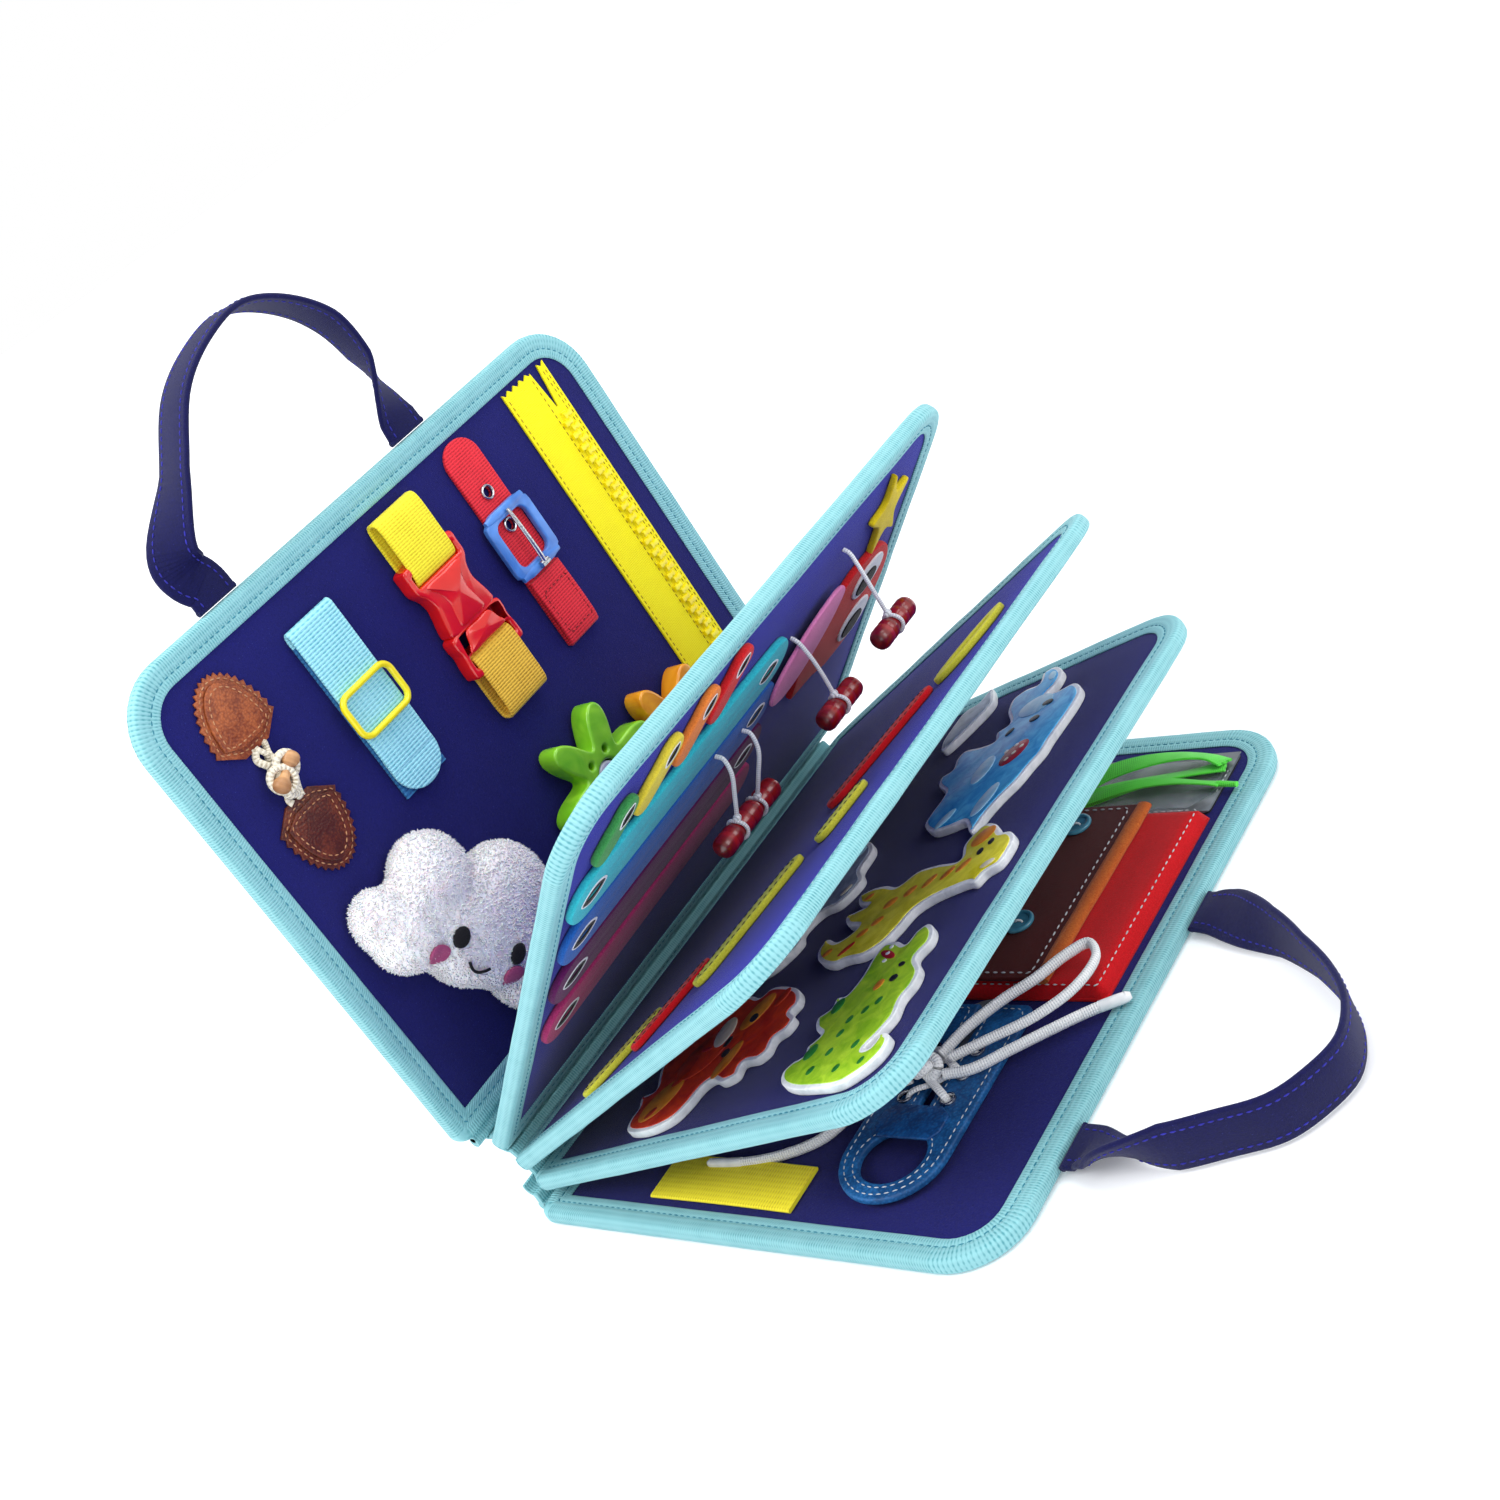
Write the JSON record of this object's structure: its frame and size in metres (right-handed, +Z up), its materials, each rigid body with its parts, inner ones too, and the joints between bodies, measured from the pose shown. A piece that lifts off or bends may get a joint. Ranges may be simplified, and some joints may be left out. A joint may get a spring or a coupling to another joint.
{
  "type": "toddler busy board case",
  "caption": "Soft felt activity book in the form of a carry case, open like a fan, with hinged covers and pages, handles and practice fasteners.",
  "frame": {"origin": "middle of the footprint of the open book, handles included, on the table", "axes": "+Z up, +X from the spine towards the free edge of the cover that lies on the table, Y along the spine"},
  "size_m": [0.3726, 0.29, 0.353],
  "materials": {
    "felt_navy": "navy felt over a stiff board",
    "felt_blue": "royal blue felt over a stiff board",
    "binding_aqua": "ribbed aqua binding tape",
    "webbing_navy": "woven navy webbing",
    "felt_red": "bright red felt",
    "felt_dark_red": "dark red felt",
    "vinyl_clear": "clear vinyl with silver corners",
    "ribbon_green": "bright green ribbon",
    "felt_grey": "grey felt",
    "leather_blue": "blue leatherette",
    "cord_white": "white braided cord",
    "foam_blue": "blue foam sheet",
    "foam_yellow": "yellow foam sheet",
    "foam_green": "lime green foam sheet",
    "foam_red": "orange-red foam sheet",
    "foam_grey": "grey foam sheet",
    "felt_yellow": "yellow felt",
    "felt_arm_red": "red felt",
    "felt_arm_orange": "orange felt",
    "felt_arm_yellow": "yellow felt",
    "felt_arm_green": "green felt",
    "felt_arm_cyan": "cyan felt",
    "felt_arm_blue": "blue felt",
    "felt_arm_purple": "purple felt",
    "felt_arm_magenta": "magenta felt",
    "wood_dark_red": "lacquered dark red wood",
    "zip_yellow": "yellow zip tape with moulded teeth",
    "plastic_yellow": "glossy yellow plastic",
    "webbing_red": "woven red webbing",
    "plastic_blue": "glossy blue plastic",
    "metal_nickel": "bright nickel plate",
    "webbing_yellow": "woven yellow webbing",
    "webbing_ochre": "woven ochre webbing",
    "plastic_red": "glossy red plastic",
    "webbing_aqua": "woven light aqua webbing",
    "leather_brown": "brown leatherette with a pinked edge",
    "leather_dark": "dark brown leatherette with a pinked edge",
    "wood_toggle": "turned wooden toggle on a cotton braid",
    "plush_white": "white short-pile plush",
    "plastic_white": "white plastic",
    "plastic_green": "glossy lime green plastic",
    "plastic_orange": "glossy orange plastic"
  },
  "bodies": {
    "right_cover": {"right_cover_board": "felt_navy", "right_cover_binding": "binding_aqua", "pouch_body": "felt_red", "window_pocket": "vinyl_clear", "green_ribbon": "ribbon_green", "shoe_tongue": "felt_grey", "shoe_upper": "leather_blue", "lace_knot": "cord_white", "lace_loop": "cord_white", "lace_tail_far": "cord_white", "lace_tail_near": "cord_white"},
    "right_handle": {"right_handle": "webbing_navy"},
    "pouch_flap": {"pouch_flap": "felt_dark_red"},
    "page_3": {"page_3_board": "felt_navy", "page_3_binding": "binding_aqua", "animal_elephant": "foam_blue", "animal_giraffe": "foam_yellow", "animal_crocodile": "foam_green", "animal_lion": "foam_red", "animal_hippo": "foam_grey"},
    "page_2": {"page_2_board": "felt_blue", "page_2_binding": "binding_aqua", "felt_bar_1": "felt_red", "felt_bar_2": "felt_yellow"},
    "page_1": {"page_1_board": "felt_blue", "page_1_binding": "binding_aqua", "octopus_head": "felt_red", "arm_red": "felt_arm_red", "arm_orange": "felt_arm_orange", "arm_yellow": "felt_arm_yellow", "arm_green": "felt_arm_green", "arm_cyan": "felt_arm_cyan", "arm_blue": "felt_arm_blue", "arm_purple": "felt_arm_purple", "arm_magenta": "felt_arm_magenta", "cord_1": "cord_white", "log_1": "wood_dark_red", "cord_2": "cord_white", "log_2": "wood_dark_red"},
    "left_cover": {"left_cover_board": "felt_navy", "left_cover_binding": "binding_aqua", "zip_tape": "zip_yellow", "belt_strap": "webbing_red", "buckle_frame": "plastic_blue", "release_loop_upper": "webbing_yellow", "release_socket": "plastic_red", "cinch_strap": "webbing_aqua", "toggle_tab_upper": "leather_brown", "toggle_tab_lower": "leather_dark", "toggle_closure": "wood_toggle", "plush_cloud": "plush_white", "gear_base": "plastic_white"},
    "left_handle": {"left_handle": "webbing_navy"},
    "zip_slider": {"zip_slider": "plastic_yellow"},
    "buckle_prong": {"buckle_prong": "metal_nickel"},
    "release_plug": {"release_plug": "plastic_red", "release_loop_lower": "webbing_ochre"},
    "cinch_ring": {"cinch_ring": "plastic_yellow"},
    "gear_green": {"gear_green": "plastic_green"},
    "gear_orange": {"gear_orange": "plastic_orange"}
  },
  "joints": [
    {"name": "page_3_turn", "type": "hinge", "parent": "right_cover", "child": "page_3", "pos_m": [-0.13672, 0, 0.0135], "axis": [0, -1, 0], "range_deg": [-5, 16.5]},
    {"name": "page_2_turn", "type": "hinge", "parent": "page_3", "child": "page_2", "pos_m": [-0.13939, 0, 0.02314], "axis": [0, -1, 0], "range_deg": [-7.5, 15.5]},
    {"name": "page_1_turn", "type": "hinge", "parent": "page_2", "child": "page_1", "pos_m": [-0.14409, 0, 0.03197], "axis": [0, -1, 0], "range_deg": [-5, 13]},
    {"name": "left_cover_turn", "type": "hinge", "parent": "page_1", "child": "left_cover", "pos_m": [-0.15116, 0, 0.03904], "axis": [0, -1, 0], "range_deg": [-16, 40.5]},
    {"name": "right_handle_swing", "type": "hinge", "parent": "right_cover", "child": "right_handle", "pos_m": [0.09508, -0.027, 0.0035], "axis": [0, -1, 0], "range_deg": [0, 70]},
    {"name": "left_handle_swing", "type": "hinge", "parent": "left_cover", "child": "left_handle", "pos_m": [-0.16935, -0.019, 0.27012], "axis": [0, -1, 0], "range_deg": [-90, 90]},
    {"name": "pouch_flap_open", "type": "hinge", "parent": "right_cover", "child": "pouch_flap", "pos_m": [-0.01655, 0.03364, 0.0153], "axis": [0, -1, 0], "range_deg": [0, 20]},
    {"name": "zip_slider_slide", "type": "slide", "parent": "left_cover", "child": "zip_slider", "axis": [-0.0785, 0, 0.9969], "range_m": [0, 0.14]},
    {"name": "buckle_prong_swing", "type": "hinge", "parent": "left_cover", "child": "buckle_prong", "pos_m": [-0.15367, 0.05423, 0.19199], "axis": [0, 1, 0], "range_deg": [0, 100]},
    {"name": "release_plug_pull", "type": "slide", "parent": "left_cover", "child": "release_plug", "axis": [0.0785, 0, -0.9969], "range_m": [0, 0.0155]},
    {"name": "cinch_ring_slide", "type": "slide", "parent": "left_cover", "child": "cinch_ring", "axis": [-0.0785, 0, 0.9969], "range_m": [-0.02, 0.02]},
    {"name": "gear_green_spin", "type": "hinge", "parent": "left_cover", "child": "gear_green", "pos_m": [-0.15221, 0.01305, 0.10586], "axis": [0.9969, 0, 0.0785], "continuous": true},
    {"name": "gear_orange_spin", "type": "hinge", "parent": "left_cover", "child": "gear_orange", "pos_m": [-0.15094, 0.0609, 0.08981], "axis": [0.9969, 0, 0.0785], "continuous": true}
  ],
  "couplings": [
    {"joint": "gear_orange_spin", "follows": "gear_green_spin", "ratio": -1}
  ]
}
